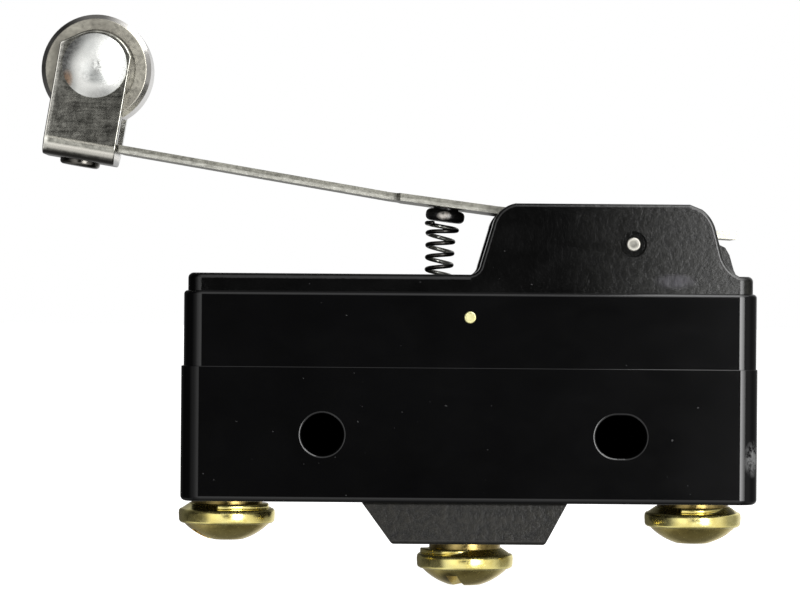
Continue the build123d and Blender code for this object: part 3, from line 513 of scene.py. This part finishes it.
def overtravel_spring():
    """A helix whose coils lean the way the button does and flare out under it."""
    low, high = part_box("overtravel_spring")
    wire_radius = 0.19 * MM
    turns, steps_per_turn, first_angle = 7.34, 36, 1.98
    # in mm: the coils widen a little all the way up, and flare and shift under the button
    foot_radius, widening = 1.0, 0.16
    flare_start, flare_widening, flare_shift = 0.86, 0.24, 0.14
    # the top coil lies against the tilted underside of the button, a little above the CAD spring
    foot_x, head_x, head_lift, tilt = 9.78, 10.08, 0.25, 0.13
    foot = Vector((foot_x * MM, 0, low.z + wire_radius))
    head = Vector((head_x * MM, 0, high.z - wire_radius + head_lift * MM))
    points = []
    for i in range(int(turns * steps_per_turn) + 1):
        t = i / (turns * steps_per_turn)
        rise = coil_rise(t)
        flare = max(0, rise - flare_start) / (1 - flare_start)
        centre = foot.lerp(head, rise) + Vector((flare_shift * MM * flare, 0, 0))
        radius = (foot_radius + widening * rise + flare_widening * flare) * MM
        angle = 2 * pi * turns * t + first_angle
        across = cos(angle)
        points.append(centre + radius * Vector((across, sin(angle), -tilt * rise * across)))
    vertices, faces = tube(points, wire_radius, sides=12)
    spring = piece("spring_coil", vertices, faces, "spring_steel")
    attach(spring, "plunger")
    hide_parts("overtravel_spring")
    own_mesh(spring)


overtravel_spring()


# ---------------------------------------------------------------- cup washers

def washer_profile(outer, drop, lip, swell):
    """Half the section of a cup washer as (radius, height under its top) in mm: its top, the lip
    round the shoulder, the sloping cone, the rolled rim and the hollow underside."""
    bore = 1.74
    shoulder, edge, rim, hollow = outer - 0.95, outer - 0.30, outer - 0.05 + swell, outer - 0.47
    lip_drop, skin = 0.36 * lip, 0.45
    return [
        (bore, 0.0),
        (shoulder + 0.55 * lip, 0.0),
        (shoulder + 0.62 * lip, -0.05),
        (shoulder + 0.62 * lip + 0.02, -0.05 - lip_drop),
        (shoulder + 0.45 * lip + 0.12 * (1 - lip), -0.10 - lip_drop),
        (edge, -0.46),
        (rim - 0.10, -0.50 - 0.02 * lip),
        (rim, -0.62),
        (rim + 0.03, -0.9),
        (rim, -drop + 0.28 + 2 * swell),
        (rim - 0.07, -drop + 0.12),
        (rim - 0.22, -drop + 0.02),
        (hollow + 0.05, -drop),
        (hollow, -drop + 0.05),
        (hollow, -0.95),
        (shoulder, -skin),
        (bore, -skin),
    ]


def cup_washer(name, lip_start, lip_end, waves):
    """A turned cup washer with a lip round part of its shoulder, between two angles in degrees,
    and an uneven rim: waves are their (size in mm, number round the rim, turn)."""
    low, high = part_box(f"{name}_cup_washer")
    middle = (low + high) / 2
    outer = (high.x - low.x) / 2 / MM
    drop = (high.z - low.z) / MM
    steps, lip_fade = 144, 40
    span = (lip_end - lip_start) % 360
    points, faces = [], []
    for i in range(steps):
        angle = 2 * pi * i / steps
        left = span - (360 * i / steps - lip_start) % 360
        lip = min(left / lip_fade, 1) if left > 0 else 0
        swell = sum(size * cos(count * angle + turn) for size, count, turn in waves)
        profile = washer_profile(outer, drop, lip, swell)
        for r, z in profile:
            points.append((middle.x + r * MM * cos(angle), middle.y + r * MM * sin(angle), high.z + z * MM))
        count = len(profile)
        here, ahead = i * count, ((i + 1) % steps) * count
        for k in range(count):
            m = (k + 1) % count
            faces.append((here + k, ahead + k, ahead + m, here + m))
    washer = piece(f"{name}_washer_ring", points, faces, "washer_brass")
    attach(washer, "root")
    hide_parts(f"{name}_cup_washer")


cup_washer("common", 258, 20, [(0.012, 5, 0.4), (0.010, 11, 1.9), (0.006, 17, 0.8)])
cup_washer("normally_closed", 180, 279, [(0.014, 4, 1.1), (0.012, 9, 0.2), (0.006, 19, 2.0)])
cup_washer("normally_open", 250, 320, [(0.012, 6, 2.4), (0.011, 10, 0.9), (0.006, 15, 1.3)])


# ---------------------------------------------------------------- studio

SKY_LEVEL = 0.95
# parts of the sky that reflections see as darker or brighter: a direction, the cosines of the
# angles from it at which the change starts and is full, and the brightness there
SKY_PATCHES = (
    ((0, -1, 0), 0.965, 0.989, 0.02),
    ((-0.80, -0.15, 0.55), 0.74, 0.93, 0.07),
    ((-0.3, 0.2, 1), 0.72, 0.93, 0.15),
    ((0.1, 0.5, -1), 0.70, 0.92, 0.14),
    ((0.1, -0.3, -1), 0.80, 0.95, 0.45),
    ((-1, -0.12, -0.2), 0.74, 0.93, 0.10),
    ((-0.7, 0.8, 0), 0.60, 0.90, 0.10),
    ((1, 0.3, 0), 0.70, 0.95, 0.30),
    ((0.40, -0.70, 0.60), 0.88, 0.97, 1.4),
)


def floor():
    """A pale floor that only the camera sees, since the sky lights the switch from below as well."""
    low, high = cad_box
    centre = (low + high) / 2
    bpy.ops.mesh.primitive_circle_add(vertices=96, radius=3, fill_type="NGON")
    disc = bpy.context.object
    disc.name = "floor"
    disc.location = (centre.x, centre.y, low.z - 0.2 * MM)
    s = Surface("floor_paper", (0.5, 0.5, 0.5), 0, 0.8)
    s.use(s.mix(s.noise(0.02), (0.40, 0.40, 0.39), (0.44, 0.44, 0.43)), "Base Color")
    s.bsdf.inputs["Emission Color"].default_value = (1, 1, 1, 1)
    s.bsdf.inputs["Emission Strength"].default_value = 1
    disc.data.materials.append(s.material)
    disc.visible_glossy = disc.visible_diffuse = disc.visible_shadow = False


def sky():
    """A white surround, plain white to look at. In reflections it is dark round the viewer,
    overhead, below, at both sides and high on the left, and brighter in front, high on the right."""
    world = bpy.data.worlds.new("studio")
    world.use_nodes = True
    scene.world = world
    tree = world.node_tree
    background = tree.nodes["Background"]
    background.inputs["Color"].default_value = (1, 1, 1, 1)
    view = add_node(tree, "TexCoord", {}).outputs["Generated"]
    strength = SKY_LEVEL
    for direction, start, full, brightness in SKY_PATCHES:
        towards = {0: view, 1: Vector(direction).normalized()}
        cosine = add_node(tree, "VectorMath", towards, operation="DOT_PRODUCT").outputs["Value"]
        change = {"Value": cosine, "From Min": start, "From Max": full, "To Min": 1, "To Max": brightness}
        patch = add_node(tree, "MapRange", change).outputs["Result"]
        strength = add_node(tree, "Math", {0: strength, 1: patch}, operation="MULTIPLY").outputs["Value"]
    camera_ray = add_node(tree, "LightPath", {}).outputs["Is Camera Ray"]
    seen = add_node(tree, "Math", {0: strength, 1: camera_ray}, operation="MAXIMUM").outputs["Value"]
    tree.links.new(seen, background.inputs["Strength"])


def area_light(name, place, target, size, power):
    light = bpy.data.lights.new(name, "AREA")
    light.shape = "RECTANGLE"
    light.size, light.size_y = size
    light.energy = power
    obj = bpy.data.objects.new(name, light)
    obj.location = place
    direction = Vector(target) - Vector(place)
    obj.rotation_euler = direction.to_track_quat("-Z", "Y").to_euler()
    obj.visible_camera = False
    scene.collection.objects.link(obj)


def lights():
    """Soft lights in front at the right and the left, and one above, off the right end."""
    low, high = cad_box
    centre = (low + high) / 2
    above = Vector((0.095, -0.085, 0.125))
    area_light("key", place=(0.175, -0.33, 0.03), target=centre, size=(0.15, 0.30), power=1.3)
    area_light("overhead", place=above, target=(above.x, above.y, 0), size=(0.12, 0.16), power=0.25)
    area_light("left", place=(-0.14, -0.33, 0.0), target=centre, size=(0.14, 0.25), power=0.05)


def one_sided_black():
    """A black that shows from its front only and is clear from behind."""
    s = Surface("painted_shade_card", (0.0, 0.0, 0.0), 0, 1.0)
    s.bsdf.inputs["Specular IOR Level"].default_value = 0
    s.use(s.mix(s.noise(0.5), (0.0005, 0.0005, 0.0005), (0.0012, 0.0012, 0.0012)), "Base Color")
    behind = s.add("NewGeometry", {}).outputs["Backfacing"]
    clear = s.add("BsdfTransparent", {}).outputs["BSDF"]
    sides = s.add("MixShader", {0: behind, 1: s.bsdf.outputs["BSDF"], 2: clear})
    s.tree.links.new(sides.outputs["Shader"], s.tree.nodes["Material Output"].inputs["Surface"])
    return s.material


def painted_shade_cards():
    """Painted shade: dark cards behind the two mounting holes, which show only through the holes and stand in for
    the shade in them.
    """
    # painted shade seen through the mounting holes
    black = one_sided_black()
    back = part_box("case")[1].y
    radius, gap, sides = 2.05 * MM, 0.03 * MM, 48
    for name, mount, half_slot in (("round", "mounting_hole", 0), ("slot", "mounting_slot", 0.35 * MM)):
        x = mounts[mount]["pos_m"][0]
        rim = []
        for i in range(sides):
            angle = 2 * pi * i / sides
            shift = half_slot if cos(angle) > 0 else -half_slot
            rim.append((x + shift + radius * cos(angle), back + gap, radius * sin(angle)))
        mesh = bpy.data.meshes.new(f"{name}_painted_shade_card")
        mesh.from_pydata(rim, [], [tuple(range(sides))])
        mesh.update()
        mesh.materials.append(black)
        card = bpy.data.objects.new(f"{name}_painted_shade_card", mesh)
        scene.collection.objects.link(card)


def camera():
    """Square on to the front face, at the cover's height, with the photograph's slight roll."""
    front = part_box("case")[0].y
    distance = 0.3
    middle_x, middle_z = 6.53, 11.49
    roll_degrees = 0.45
    data = bpy.data.cameras.new("camera")
    data.sensor_width = 36
    data.lens = 159
    data.clip_start = 0.01
    data.clip_end = 20
    obj = bpy.data.objects.new("camera", data)
    obj.location = (middle_x * MM, front - distance, middle_z * MM)
    level = Matrix.Rotation(radians(90), 3, "X")
    roll = Matrix.Rotation(radians(roll_degrees), 3, "Z")
    obj.rotation_euler = (level @ roll).to_euler()
    scene.collection.objects.link(obj)
    scene.camera = obj


floor()
sky()
lights()
painted_shade_cards()
camera()
scene.view_settings.view_transform = "Standard"
